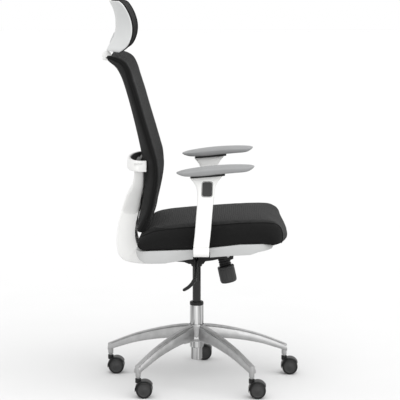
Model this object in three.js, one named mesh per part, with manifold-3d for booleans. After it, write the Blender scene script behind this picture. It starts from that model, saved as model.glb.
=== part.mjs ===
// Swivel office chair: five-star base on twin-wheel casters, gas lift, synchro tilt mechanism,
// mesh back on a white L-shaped support, headrest and height-adjustable armrests.
// Millimetres, +Z up. The origin is on the floor, on the column's axis, and the chair faces -Y.
// Outlines seen from the side are lists of [y, z]; the sitter's left is +X and right is -X.
import * as THREE from "three";
import { mergeVertices } from "three/addons/utils/BufferGeometryUtils.js";
import Module from "manifold-3d";

const wasm = await Module();
wasm.setup();

// ---------------------------------------------------------------- driving dimensions
const GAP = 0.3; // between two pieces that touch
const ROUND = 18; // facets of a turned piece
const LEG_COUNT = 5;
const FIRST_LEG = 18; // degrees from straight ahead
const LEG_REACH = 310; // column axis to caster stem
const CASTER_TRAIL = 19.5; // stem axis to wheel axle
const WHEEL_RADIUS = 26.5;
const WHEEL_SIDES = 20;
const WHEEL_INNER = 6.2; // wheel faces, from the caster's middle plane
const WHEEL_OUTER = 25;
const HOOD_RADIUS = 30;
const HOOD_WEB = 5; // half the thickness between the wheels
const STEM_RADIUS = 5.5;
const STEM_SIDES = 12;
const TUBE_RADIUS = 23.3;
const TUBE_WALL = 2.8;
const TUBE_BOTTOM = 71;
const TUBE_TOP = 255;
const CYLINDER_RADIUS = 14;
const CYLINDER_BOTTOM = 192;
const CYLINDER_TOP = 426;
const ROD_RADIUS = 5;
const HOUSING_HALF = 62; // tilt mechanism, half its width
const RECLINE_PIVOT = [-2, 421]; // [y, z] of the back's pivot
const SEAT_PIVOT = [-105, 431]; // [y, z] of the seat's front pivot
const SEAT_HALF = 250;
const PAN_HALF = 240;
const CROWN = 16; // the seat's middle above its side edge
const SHOULDER = 20; // how far the top drops over its side edge
const BOW = 8; // how far the middle of the front edge stands out
const BACK_HALF = 203;
const BACK_THICK = 24;
const HEAD_HALF = 127;
const HEAD_SHELL = 7;
const HEAD_GAP = 1.3;
const HEAD_PAD = 24;
const HEAD_PAD_RIM = 2;
const ARM_INNER = 272; // upright, inner and outer face
const ARM_OUTER = 300;
const ARM_LEAN = THREE.MathUtils.degToRad(4.6);
const PAD_CENTRE = 290;
const KNOB_TILT = THREE.MathUtils.degToRad(12.4);
const KNOB_TOP = [-90.3, 412]; // [y, z] where the knob's axis leaves the housing

const SIDES = [
  { name: "left", sign: 1 },
  { name: "right", sign: -1 },
];

// ---------------------------------------------------------------- materials
const paint = (color, roughness, metalness) =>
  new THREE.MeshStandardMaterial({ color, roughness, metalness });
const white = paint(0xeeeeec, 0.4, 0);
const shellGrey = paint(0xe1e3e2, 0.4, 0);
const panGrey = paint(0xc4c6c5, 0.45, 0);
const black = paint(0x1d1e20, 0.5, 0);
const fabric = paint(0x29292b, 0.95, 0);
const padGrey = paint(0x6f7276, 0.6, 0);
const aluminium = paint(0xb9bbbd, 0.25, 1);
const chrome = paint(0xc9cbcd, 0.1, 1);
const steel = paint(0x8d9094, 0.35, 1);
const tyre = paint(0x26272a, 0.75, 0);

// ---------------------------------------------------------------- shape helpers
function solidOf(geometry) {
  const bare = geometry.clone();
  bare.deleteAttribute("normal");
  bare.deleteAttribute("uv");
  const merged = mergeVertices(bare, 1e-4);
  return new wasm.Manifold(
    new wasm.Mesh({
      numProp: 3,
      vertProperties: merged.attributes.position.array,
      triVerts: new Uint32Array(merged.index.array),
    }),
  );
}

function geometryOf(solid) {
  const mesh = solid.getMesh();
  const geometry = new THREE.BufferGeometry();
  geometry.setAttribute("position", new THREE.BufferAttribute(mesh.vertProperties, 3));
  geometry.setIndex(new THREE.BufferAttribute(mesh.triVerts, 1));
  geometry.computeVertexNormals();
  return geometry;
}

const join = (...geometries) =>
  geometryOf(geometries.map(solidOf).reduce((whole, piece) => whole.add(piece)));

const cut = (body, ...tools) =>
  geometryOf(tools.map(solidOf).reduce((left, tool) => left.subtract(tool), solidOf(body)));

const common = (a, b) => geometryOf(solidOf(a).intersect(solidOf(b)));

// A solid of revolution about Z from a profile of [radius, z].
function turned(profile, sides = ROUND) {
  const points = profile.map(([r, z]) => new THREE.Vector2(r, z));
  return new THREE.LatheGeometry(points, sides).rotateX(Math.PI / 2);
}

// A ring or sleeve about Z with a rectangular section.
function sleeve(inner, outer, low, high, sides = ROUND) {
  return turned(
    [
      [inner, low],
      [outer, low],
      [outer, high],
      [inner, high],
      [inner, low],
    ],
    sides,
  );
}

// A plain round body about Z.
function pillar(radius, low, high, sides = ROUND) {
  const drawn = new THREE.CylinderGeometry(radius, radius, high - low, sides);
  return drawn.rotateX(Math.PI / 2).translate(0, 0, (low + high) / 2);
}

// An outline of [y, z] drawn out along X, from low to high.
function acrossX(outline, low, high, steps = 1) {
  const shape = new THREE.Shape(outline.map(([y, z]) => new THREE.Vector2(y, z)));
  const drawn = new THREE.ExtrudeGeometry(shape, { depth: high - low, steps, bevelEnabled: false });
  const turn = new THREE.Matrix4().set(0, 0, 1, low, 1, 0, 0, 0, 0, 1, 0, 0, 0, 0, 0, 1);
  return drawn.applyMatrix4(turn);
}

// An outline of [x, z] drawn out along Y, from low to high.
function acrossY(outline, low, high) {
  const shape = new THREE.Shape(outline.map(([x, z]) => new THREE.Vector2(x, z)));
  const drawn = new THREE.ExtrudeGeometry(shape, { depth: high - low, bevelEnabled: false });
  return drawn.rotateX(Math.PI / 2).translate(0, high, 0);
}

// An outline of [x, y] drawn up, from low to high.
function upright(outline, low, high, steps = 1) {
  const shape = new THREE.Shape(outline.map(([x, y]) => new THREE.Vector2(x, y)));
  const drawn = new THREE.ExtrudeGeometry(shape, { depth: high - low, steps, bevelEnabled: false });
  return drawn.translate(0, 0, low);
}

function block(xs, ys, zs) {
  const size = [xs, ys, zs].map(([low, high]) => high - low);
  const middle = [xs, ys, zs].map(([low, high]) => (low + high) / 2);
  return new THREE.BoxGeometry(...size).translate(...middle);
}

// A round bar about X.
function bar(y, z, radius, low, high, sides = 20) {
  const drawn = new THREE.CylinderGeometry(radius, radius, high - low, sides);
  return drawn.rotateZ(Math.PI / 2).translate((low + high) / 2, y, z);
}

// A body with a ring of points at each station. place(turn, along) gives a point; both run
// from 0 to 1, and the ring runs anticlockwise seen from the far end.
function loft(ringCount, stationCount, place) {
  const tube = new THREE.CylinderGeometry(1, 1, 1, ringCount, stationCount);
  const position = tube.attributes.position;
  for (let i = 0; i < position.count; i += 1) {
    const x = position.getX(i);
    const z = position.getZ(i);
    const along = position.getY(i) + 0.5;
    let point = new THREE.Vector3();
    if (Math.hypot(x, z) < 0.5) {
      for (let k = 0; k < ringCount; k += 1) point.add(place(k / ringCount, along));
      point.divideScalar(ringCount);
    } else {
      const turn = (Math.atan2(x, z) / (2 * Math.PI) + 1) * ringCount;
      point = place((Math.round(turn) % ringCount) / ringCount, along);
    }
    position.setXYZ(i, point.x, point.y, point.z);
  }
  return tube;
}

// A thick curved panel: place(across, up, through) gives each point. across runs from -1 to 1
// towards +X, up from 0 to 1, and through from 0 at the rear face to 1 at the front face.
function panel(columns, rows, place) {
  const slab = new THREE.BoxGeometry(2, 1, 1, columns, 1, rows);
  const position = slab.attributes.position;
  for (let i = 0; i < position.count; i += 1) {
    const across = position.getX(i);
    const through = 0.5 - position.getY(i);
    const point = place(across, position.getZ(i) + 0.5, through);
    position.setXYZ(i, point.x, point.y, point.z);
  }
  return slab;
}

// A smooth line through [y, z] points, as a function of 0..1.
function line(points) {
  const curve = new THREE.SplineCurve(points.map(([y, z]) => new THREE.Vector2(y, z)));
  return (t) => curve.getPoint(THREE.MathUtils.clamp(t, 0, 1));
}

const mix = THREE.MathUtils.lerp;

// The stretch of X from a to b on one side, as [low, high].
const span = (sign, a, b) => [Math.min(sign * a, sign * b), Math.max(sign * a, sign * b)];

// ---------------------------------------------------------------- assembly
const chair = new THREE.Group();

function add(name, geometry, material, parent = chair) {
  const mesh = new THREE.Mesh(geometry, material);
  mesh.name = name;
  parent.add(mesh);
  return mesh;
}

// ---------------------------------------------------------------- base
// One die-cast leg along +X: a narrow top, sides that slope out, and a drop towards the tip.
function leg() {
  const top = line([
    [26, 190],
    [62, 185],
    [116, 174],
    [169, 160],
    [223, 143],
    [277, 121],
    [316, 104],
  ]);
  const section = [
    [-0.8, 0],
    [0.8, 0],
    [1, 0.3],
    [0.8, 0.8],
    [0.42, 1],
    [-0.42, 1],
    [-0.8, 0.8],
    [-1, 0.3],
  ];
  return loft(section.length, 6, (turn, along) => {
    const [side, height] = section[Math.round(turn * section.length)];
    const spine = top(along);
    const depth = mix(56, 25, Math.pow(along, 0.6));
    const half = mix(18, 12, along) * (along > 0.99 ? 0.72 : 1);
    return new THREE.Vector3(spine.x, side * half, spine.y - depth * (1 - height));
  });
}

function legSocket() {
  return cut(
    join(
      leg(),
      pillar(8.8, 66, 102, STEM_SIDES).translate(LEG_REACH, 0, 0),
    ),
    pillar(STEM_RADIUS + GAP, 60, 94, STEM_SIDES).translate(LEG_REACH, 0, 0),
  );
}

function base() {
  const hub = turned(
    [
      [0, 134],
      [27, 134],
      [28.5, 138],
      [28.5, 187],
      [27, 190],
      [0, 190],
    ],
    24,
  );
  const bore = pillar(TUBE_RADIUS + 2 * GAP, 120, 220, ROUND);
  const legs = legAngles.map((angle) => legSocket().rotateZ(angle));
  return cut(join(hub, ...legs), bore);
}

// Directions of the legs as turns about Z from +X; the first lies FIRST_LEG from -Y.
const legAngles = Array.from({ length: LEG_COUNT }, (_, i) =>
  THREE.MathUtils.degToRad(FIRST_LEG - 90 + (i * 360) / LEG_COUNT),
);

// ---------------------------------------------------------------- casters
function wheelAt(sign) {
  const rim = WHEEL_RADIUS / Math.cos(Math.PI / WHEEL_SIDES);
  const profile = [
    [3.3, WHEEL_INNER],
    [rim, WHEEL_INNER],
    [rim, WHEEL_OUTER - 5],
    [rim - 5, WHEEL_OUTER],
    [0, WHEEL_OUTER],
    [0, 21],
    [3.3, 21],
    [3.3, WHEEL_INNER],
  ];
  const wheel = turned(profile, WHEEL_SIDES).rotateZ(Math.PI / WHEEL_SIDES);
  return wheel.rotateY((sign * Math.PI) / 2);
}

// The hood covers the wheels on the stem's side and carries the axle; its frame is the wheels'.
function hood() {
  const arc = Array.from({ length: 10 }, (_, i) => {
    const angle = THREE.MathUtils.degToRad(-8 + i * 17.7);
    return [HOOD_RADIUS * Math.cos(angle), HOOD_RADIUS * Math.sin(angle)];
  });
  const cover = acrossX([[0, 0], ...arc], -23.5, 23.5);
  const neck = pillar(9.5, 20, 36, STEM_SIDES).translate(0, CASTER_TRAIL, 0);
  const bore = pillar(STEM_RADIUS + GAP, 15, 40, STEM_SIDES).translate(0, CASTER_TRAIL, 0);
  const web = bar(0, 0, 9, -HOOD_WEB, HOOD_WEB, 12);
  const axle = bar(0, 0, 2.7, -20, 20, 8);
  const wells = SIDES.map(({ sign }) =>
    bar(0, 0, WHEEL_RADIUS + 1.6, ...span(sign, HOOD_WEB, 40), WHEEL_SIDES),
  );
  const shell = cut(join(cover, neck, web), ...wells, bore);
  return join(shell, axle);
}

function casters() {
  legAngles.forEach((angle, i) => {
    const caster = new THREE.Group();
    caster.position.set(LEG_REACH * Math.cos(angle), LEG_REACH * Math.sin(angle), 0);
    chair.add(caster);
    const number = i + 1;
    const stem = pillar(STEM_RADIUS, 44, 93, STEM_SIDES);
    add(`caster_stem_${number}`, stem, steel, caster);
    const wheels = new THREE.Group();
    wheels.position.set(0, -CASTER_TRAIL, WHEEL_RADIUS);
    caster.add(wheels);
    add(`caster_hood_${number}`, hood(), black, wheels);
    add(`caster_wheel_${number}_left`, wheelAt(1), tyre, wheels);
    add(`caster_wheel_${number}_right`, wheelAt(-1), tyre, wheels);
  });
}

// ---------------------------------------------------------------- column
function column() {
  const tube = turned([
    [5.4, TUBE_BOTTOM],
    [18.5, TUBE_BOTTOM],
    [18.5, 108],
    [TUBE_RADIUS, 114],
    [TUBE_RADIUS, TUBE_TOP],
    [TUBE_RADIUS - TUBE_WALL, TUBE_TOP],
    [TUBE_RADIUS - TUBE_WALL, 118],
    [15.6, 112],
    [15.6, 75],
    [5.4, 75],
    [5.4, TUBE_BOTTOM],
  ]);
  add("column_tube", tube, chrome);
  const collar = turned([
    [CYLINDER_RADIUS + 0.5, 190],
    [TUBE_RADIUS - TUBE_WALL - GAP, 190],
    [TUBE_RADIUS - TUBE_WALL - GAP, TUBE_TOP + GAP],
    [TUBE_RADIUS, TUBE_TOP + GAP],
    [TUBE_RADIUS, 264],
    [22, 267],
    [CYLINDER_RADIUS + 0.5, 267],
    [CYLINDER_RADIUS + 0.5, 190],
  ]);
  add("column_collar", collar, black);
  add("thrust_bearing", sleeve(ROD_RADIUS + 0.6, 13, 75.3, 82), steel);
  const rod = turned(
    [
      [0, 67],
      [ROD_RADIUS, 67],
      [ROD_RADIUS, 82.3],
      [9, 82.3],
      [9, 84.5],
      [ROD_RADIUS, 84.5],
      [ROD_RADIUS, 285],
      [0, 285],
    ],
    16,
  );
  add("piston_rod", rod, steel);
  add("rod_clip", sleeve(ROD_RADIUS + GAP, 10, 68.4, 70.7, 16), steel);
  const cylinder = turned([
    [ROD_RADIUS + 0.6, CYLINDER_BOTTOM],
    [CYLINDER_RADIUS, CYLINDER_BOTTOM],
    [CYLINDER_RADIUS, CYLINDER_TOP],
    [0, CYLINDER_TOP],
    [0, 392],
    [ROD_RADIUS + 0.6, 392],
    [ROD_RADIUS + 0.6, CYLINDER_BOTTOM],
  ]);
  add("gas_cylinder", cylinder, black);
}

// ---------------------------------------------------------------- tilt mechanism
// Turns a shape made along -Z onto the tension knob's axis.
function onKnobAxis(geometry) {
  return geometry.rotateX(-KNOB_TILT).translate(0, KNOB_TOP[0], KNOB_TOP[1]);
}

function housing() {
  const [pivotY, pivotZ] = RECLINE_PIVOT;
  const body = acrossX(
    [
      [-122, 424],
      [-72, 418],
      [-53, 414],
      [-30, 411],
      [-24, 402],
      [24, 402],
      [52, 413],
      [55, 430],
      [50, 434],
      [-118, 438],
      [-122, 434],
    ],
    -HOUSING_HALF,
    HOUSING_HALF,
  );
  const cone = turned([
    [0, 385],
    [17, 385],
    [24, 403],
    [0, 403],
  ]);
  const knobBoss = onKnobAxis(
    turned([
      [0, 0],
      [19, 0],
      [19, 16],
      [0, 16],
    ]),
  );
  const pivotBosses = bar(pivotY, pivotZ, 11, -73, 73, 24);
  const socket = turned([
    [0, 380],
    [CYLINDER_RADIUS + GAP, 380],
    [CYLINDER_RADIUS + GAP, CYLINDER_TOP + GAP],
    [0, CYLINDER_TOP + GAP],
  ]);
  const leverHole = bar(pivotY, pivotZ, 8, -80, -40);
  const pinHole = bar(...SEAT_PIVOT, 5.4, -80, 80, 16);
  return cut(join(body, cone, knobBoss, pivotBosses), socket, leverHole, pinHole);
}

function tensionKnob() {
  const neck = [[0, -GAP]];
  for (let i = 0; i < 3; i += 1) {
    neck.push([20.5, -GAP - 8.4 * i], [20.5, -5 - 8.4 * i], [18.8, -6.6 - 8.4 * i]);
  }
  neck.push([20, -25.4], [0, -25.4]);
  add("tension_neck", onKnobAxis(turned(neck.reverse(), 16)), black);
  const outline = [];
  const grips = 16;
  for (let i = 0; i < grips * 2; i += 1) {
    const angle = (i * Math.PI) / grips;
    const radius = i % 2 ? 26.6 : 28;
    outline.push([radius * Math.cos(angle), radius * Math.sin(angle)]);
  }
  const skirt = upright(outline, -79, -28);
  const dome = turned([
    [0, -83],
    [24, -83],
    [30, -78],
    [30, -28],
    [26, -25.9],
    [0, -25.9],
  ]);
  const ends = join(
    skirt,
    turned([
      [0, -83],
      [23, -83],
      [26.4, -78.5],
      [26.4, -28.4],
      [24, -25.9],
      [0, -25.9],
    ]),
  );
  add("tension_knob", onKnobAxis(common(dome, ends)), black);
}

function lever() {
  const [pivotY, pivotZ] = RECLINE_PIVOT;
  const ferrule = cut(
    join(bar(pivotY, pivotZ, 7.6, -82, -66, 20), bar(pivotY, pivotZ, 10.5, -82, -74.5, 20)),
    bar(pivotY, pivotZ, 5.6, -90, -60, 16),
  );
  add("lever_ferrule", ferrule, black);
  const path = new THREE.CatmullRomCurve3(
    [
      [-50, -2, 421],
      [-72, -2, 421],
      [-108, -2, 419],
      [-150, -2, 410],
      [-192, -1, 395],
      [-226, 1, 381],
    ].map((p) => new THREE.Vector3(...p)),
  );
  const round = new THREE.Shape().absarc(0, 0, 4, 0, 2 * Math.PI);
  const shaft = new THREE.ExtrudeGeometry(round, {
    extrudePath: path,
    steps: 16,
    curveSegments: 5,
    bevelEnabled: false,
  });
  const paddle = acrossX(
    [
      [-9, 389],
      [-3, 391],
      [4, 383],
      [12, 370],
      [26, 357],
      [43, 348],
      [42, 341],
      [36, 340],
      [20, 350],
      [4, 362],
      [-5, 374],
    ],
    -242,
    -217,
  );
  add("lift_lever", join(shaft, paddle), black);
}

// Two side plates and a cross plate that join the back's support to its pivot.
function reclineBracket() {
  const [pivotY, pivotZ] = RECLINE_PIVOT;
  const side = [
    [-17, 421],
    [-12, 408],
    [4, 404],
    [20, 408],
    [60, 411],
    [150, 413],
    [152, 428],
    [60, 436],
    [8, 437],
    [-12, 434],
  ];
  const plates = SIDES.map(({ sign }) =>
    acrossX(side, ...span(sign, 64, 69.5)),
  );
  const cross = block([-69.5, 69.5], [92, 151], [424.2, 428]);
  return cut(join(...plates, cross), bar(pivotY, pivotZ, 11.4, -90, 90, 24));
}

// Rails under the seat pan, with lugs for the front pivot and short rear lugs for the link.
function seatCarriage(under) {
  const roof = [
    [-128, under(-128) - 4],
    [-128, under(-128) - GAP],
    [-60, under(-60) - GAP],
    [0, under(0) - GAP],
    [85, under(85) - GAP],
    [85, under(85) - 4],
    [0, under(0) - 4],
    [-60, under(-60) - 4],
  ];
  const rail = [
    [-122, 422],
    [-112, 418],
    [-98, 418],
    [-88, 424],
    [-76, 448],
    [60, 452],
    [78, 447],
    [85, 452],
    [85, under(85) - 1],
    [0, under(0) - 1],
    [-60, under(-60) - 1],
    [-126, under(-126) - 1],
  ];
  const rails = SIDES.map(({ sign }) =>
    acrossX(rail, ...span(sign, 71.5, 76)),
  );
  const lugs = SIDES.map(({ sign }) =>
    bar(...SEAT_PIVOT, 11, ...span(sign, 63, 72)),
  );
  return cut(join(acrossX(roof, -76, 76), ...rails, ...lugs), bar(...SEAT_PIVOT, 5.4, -90, 90, 16));
}

// ---------------------------------------------------------------- seat
// The cushion's underside, which the pan follows: z at a given y.
const underside = [
  [-250, 492.5],
  [-214, 497],
  [-144, 495],
  [-61, 486],
  [2, 478],
  [95, 475],
  [191, 471],
];

function undersideAt(y) {
  const i = Math.max(1, underside.findIndex(([edge]) => edge >= y));
  const [low, high] = [underside[i - 1], underside[i]];
  return mix(low[1], high[1], (y - low[0]) / (high[0] - low[0]));
}

// An upright prism whose rounded corners trim a body in plan.
function planTrim(half, front, rear, frontCorner, rearCorner) {
  const shape = new THREE.Shape();
  shape.moveTo(-half + rearCorner, rear);
  shape.quadraticCurveTo(-half, rear, -half, rear - rearCorner);
  shape.lineTo(-half, front + frontCorner);
  shape.quadraticCurveTo(-half, front, -half + frontCorner, front);
  shape.lineTo(half - frontCorner, front);
  shape.quadraticCurveTo(half, front, half, front + frontCorner);
  shape.lineTo(half, rear - rearCorner);
  shape.quadraticCurveTo(half, rear, half - rearCorner, rear);
  const drawn = new THREE.ExtrudeGeometry(shape, { depth: 300, bevelEnabled: false, curveSegments: 4 });
  return drawn.translate(0, 0, 350);
}

function cushion() {
  const outline = [
    ...underside.map(([y, z]) => [y, z + GAP]),
    [187, 488],
    [172, 508],
    [150, 528],
    [140, 538],
    [97, 547],
    [4, 555],
    [-58, 560],
    [-144, 564],
    [-205, 565],
    [-240, 561],
    [-262, 548],
    [-281, 527],
    [-292, 513],
    [-297, 502],
    [-295, 493],
    [-287, 487],
    [-272, 484],
    [-262, 486],
    [-256, 492.8],
  ];
  const body = acrossX(outline, -1, 1, 8);
  const position = body.attributes.position;
  for (let i = 0; i < position.count; i += 1) {
    const across = Math.sin((position.getX(i) * Math.PI) / 2);
    const y = position.getY(i);
    const z = position.getZ(i);
    const middle = 1 - across * across;
    const nose = THREE.MathUtils.smoothstep(-y, 230, 290);
    const top = THREE.MathUtils.smoothstep(z, 505, 560);
    const shoulder = SHOULDER * Math.pow(across, 10);
    position.setXYZ(i, across * SEAT_HALF, y - BOW * nose * middle, z + top * (CROWN * middle - shoulder));
  }
  return common(body, planTrim(SEAT_HALF, -306, 190, 66, 50));
}

// A moulded pan: a plate under the cushion with a skirt all round.
function pan() {
  const top = underside.map(([y, z]) => [y, z]);
  const outline = [
    ...top,
    [188, 456],
    [178, 443],
    [161, 434],
    [97, 434],
    [16, 447],
    [-32, 452],
    [-115, 459],
    [-176, 462],
    [-202, 471],
    [-250, 480],
  ];
  const inner = [
    ...top.slice(1, 6).map(([y, z]) => [y, z - 7]),
    [174, 465],
    [174, 400],
    [-214, 400],
  ];
  const body = common(acrossX(outline, -PAN_HALF, PAN_HALF), planTrim(PAN_HALF, -250, 190, 56, 46));
  const hollow = acrossX(inner, -PAN_HALF + 13, PAN_HALF - 13);
  const notches = SIDES.map(({ sign }) =>
    block([sign * 205 - 70, sign * 205 + 70], [-48, 6], [430, 470.8]),
  );
  const rearGap = block([-66, 66], [150, 200], [400, 463]);
  return cut(body, hollow, ...notches, rearGap);
}

function seat() {
  add("seat_pan", pan(), panGrey);
  add("seat_cushion", cushion(), fabric);
  add("seat_carriage", seatCarriage((y) => undersideAt(y) - 7), steel);
}

// ---------------------------------------------------------------- back
// Front edge of the side bolsters and rear line of the middle, paired from bottom to top.
const backFront = line([
  [155, 528],
  [141, 562],
  [127, 620],
  [114, 690],
  [114, 750],
  [124, 788],
  [141, 846],
  [159, 905],
  [177, 965],
  [193, 1014],
  [203, 1047],
  [219, 1076],
  [248, 1091],
  [283, 1094],
]);
const backRear = line([
  [194, 529],
  [185, 566],
  [176, 622],
  [171, 690],
  [176, 750],
  [183, 790],
  [195, 846],
  [209, 905],
  [225, 965],
  [240, 1012],
  [254, 1039],
  [264, 1051],
  [275, 1061],
  [287, 1071],
]);

// A point of the back: depth 0 on the rear face and 1 on the front face, below 0 behind it.
function backPoint(across, up, depth, edgeRound = 0) {
  const front = backFront(up);
  const rear = backRear(up);
  const toFront = front.clone().sub(rear);
  const reach = toFront.length();
  const thick = Math.min(BACK_THICK, reach * 0.55);
  toFront.divideScalar(reach);
  const wing = (reach - thick) * Math.pow(Math.abs(across), 2);
  const slim = 1 - edgeRound * Math.pow(Math.abs(across), 8);
  const level = wing + thick * (0.5 + (depth - 0.5) * slim);
  const point = rear.clone().addScaledVector(toFront, level);
  const half = BACK_HALF * (1 - 0.04 * Math.pow(1 - up, 6) - 0.08 * Math.pow(up, 8));
  return new THREE.Vector3(across * half, point.x, point.y);
}

// A white strip down the middle of the rear face, from the lumbar loop to the rolled top.
function spine() {
  const half = 32 / BACK_HALF;
  return panel(2, 14, (across, up, through) => {
    const height = mix(0.385, 0.96, up);
    const inner = backPoint(across * half, height, 0);
    const outward = backPoint(across * half, height, -1).sub(inner).normalize();
    return inner.addScaledVector(outward, 0.5 + 3.5 * (1 - through));
  });
}

// The L-shaped support: a channel that rises from under the seat and forks into two arms,
// which a loop joins behind the lumbar pad.
function support() {
  const outer = [
    [97, 402],
    [162, 401],
    [198, 403],
    [231, 410],
    [251, 425],
    [260, 448],
    [263, 478],
    [260, 514],
    [253, 551],
    [241, 591],
    [228, 632],
  ];
  const inner = [
    [190, 632],
    [186, 591],
    [198, 545],
    [201, 520],
    [198, 482],
    [188, 456],
    [170, 436],
    [154, 424],
    [97, 423.7],
  ];
  const channel = acrossX([...outer, ...inner], -60, 60);
  const pocket = acrossX(
    [
      [214, 640],
      [226, 591],
      [240, 545],
      [247, 512],
      [249, 478],
      [245, 450],
      [236, 432],
      [222, 422],
      [196, 414],
      [130, 412],
      [130, 430],
      [150, 470],
      [170, 560],
      [170, 640],
    ],
    -44,
    44,
  );
  const arms = SIDES.map(({ sign }) => supportArm(sign));
  return join(cut(channel, pocket), ...arms, loop());
}

function supportArm(sign) {
  const front = line([
    [188, 560],
    [181, 610],
    [172, 655],
    [168, 700],
    [166, 745],
  ]);
  const rear = line([
    [250, 560],
    [234, 606],
    [210, 650],
    [198, 700],
    [197, 740],
  ]);
  const corners = [
    [-1, 0],
    [1, 0],
    [1, 0.85],
    [0.7, 1],
    [-0.7, 1],
    [-1, 0.85],
  ];
  const arm = loft(corners.length, 8, (turn, along) => {
    const [side, depth] = corners[Math.round(turn * corners.length)];
    const near = front(along);
    const far = rear(along);
    const middle = mix(46, 148, Math.pow(along, 0.9));
    const half = mix(14, 12, along);
    return new THREE.Vector3(
      sign * middle + side * half,
      mix(near.x, far.x, depth),
      mix(near.y, far.y, depth),
    );
  });
  const tip = block([sign * 149 - 11, sign * 149 + 11], [157, 172], [716, 744]);
  return join(arm, tip);
}

function loop() {
  const outline = [];
  const count = 20;
  for (let i = 0; i <= count; i += 1) {
    const angle = (i * Math.PI) / count;
    outline.push([158 * Math.cos(angle), 180 + 49 * Math.sin(angle)]);
  }
  for (let i = count; i >= 0; i -= 1) {
    const angle = (i * Math.PI) / count;
    outline.push([144 * Math.cos(angle), 180 + 36 * Math.sin(angle)]);
  }
  return upright(outline, 717, 754);
}

function lumbar() {
  const outline = [];
  const count = 20;
  for (let i = 0; i < count; i += 1) {
    const angle = (i * 2 * Math.PI) / count;
    const x = 84 * Math.sign(Math.cos(angle)) * Math.pow(Math.abs(Math.cos(angle)), 0.6);
    const z = 720 + 26 * Math.sign(Math.sin(angle)) * Math.pow(Math.abs(Math.sin(angle)), 0.6);
    outline.push([x, z]);
  }
  return acrossY(outline, 181, 198);
}

// ---------------------------------------------------------------- headrest
const headRim = line([
  [242.5, 1098],
  [218.5, 1118],
  [205.5, 1145],
  [201.5, 1172],
  [204.5, 1198],
  [214.5, 1226],
  [230.5, 1252],
  [244.5, 1263],
]);
const headRear = line([
  [297, 1102],
  [285, 1126],
  [273, 1148],
  [266, 1177],
  [266, 1206],
  [272, 1233],
  [281, 1253],
  [286, 1263],
]);

// A point of the headrest; ahead is how far it stands in front of the shell's rear face.
function headPoint(across, up, ahead) {
  const rim = headRim(up);
  const rear = headRear(up);
  const toRim = rim.clone().sub(rear);
  const reach = toRim.length();
  toRim.divideScalar(reach);
  const wing = (reach - HEAD_SHELL) * Math.pow(Math.abs(across), 2);
  const point = rear.clone().addScaledVector(toRim, wing + ahead);
  const half = HEAD_HALF * (1 - 0.16 * Math.pow(Math.abs(2 * up - 1), 5));
  return new THREE.Vector3(across * half, point.x, point.y);
}

function headrest() {
  const shell = panel(8, 8, (across, up, through) => headPoint(across, up, through * HEAD_SHELL));
  const slot = block([-26, 26], [250, 310], [1080, 1168]);
  add("headrest_shell", cut(shell, slot), shellGrey);
  const pad = panel(8, 8, (across, up, through) => {
    const taper = 1 - 0.5 * Math.pow(Math.abs(2 * up - 1), 6);
    const thick = mix(HEAD_PAD, HEAD_PAD_RIM, across * across) * taper;
    return headPoint(across, up, HEAD_SHELL + HEAD_GAP + through * thick);
  });
  const pocket = acrossX(
    [
      [300, 1080],
      [300, 1172],
      [247.5, 1172],
      [247.5, 1146],
      [258, 1124],
      [268, 1100],
      [272, 1080],
    ],
    -26,
    26,
  );
  add("headrest_cushion", cut(pad, pocket), fabric);
  const post = acrossX(
    [
      [288.5, 1068],
      [307, 1069],
      [310, 1088],
      [303, 1099],
      [293, 1103],
      [264.5, 1166],
      [256, 1162],
      [284.5, 1099],
      [288.5, 1092],
    ],
    -18,
    18,
  );
  add("headrest_post", post, white);
  const carrier = cut(
    acrossX(
      [
        [250.5, 1148],
        [260, 1130],
        [284, 1122],
        [281, 1134],
        [270, 1158],
        [262, 1163],
        [250.5, 1160],
      ],
      -23,
      23,
    ),
    acrossX(
      [
        [293.6, 1103.3],
        [265.1, 1166.3],
        [255.4, 1161.7],
        [283.9, 1098.7],
      ],
      -18.4,
      18.4,
    ),
  );
  add("headrest_carrier", carrier, black);
}

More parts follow.
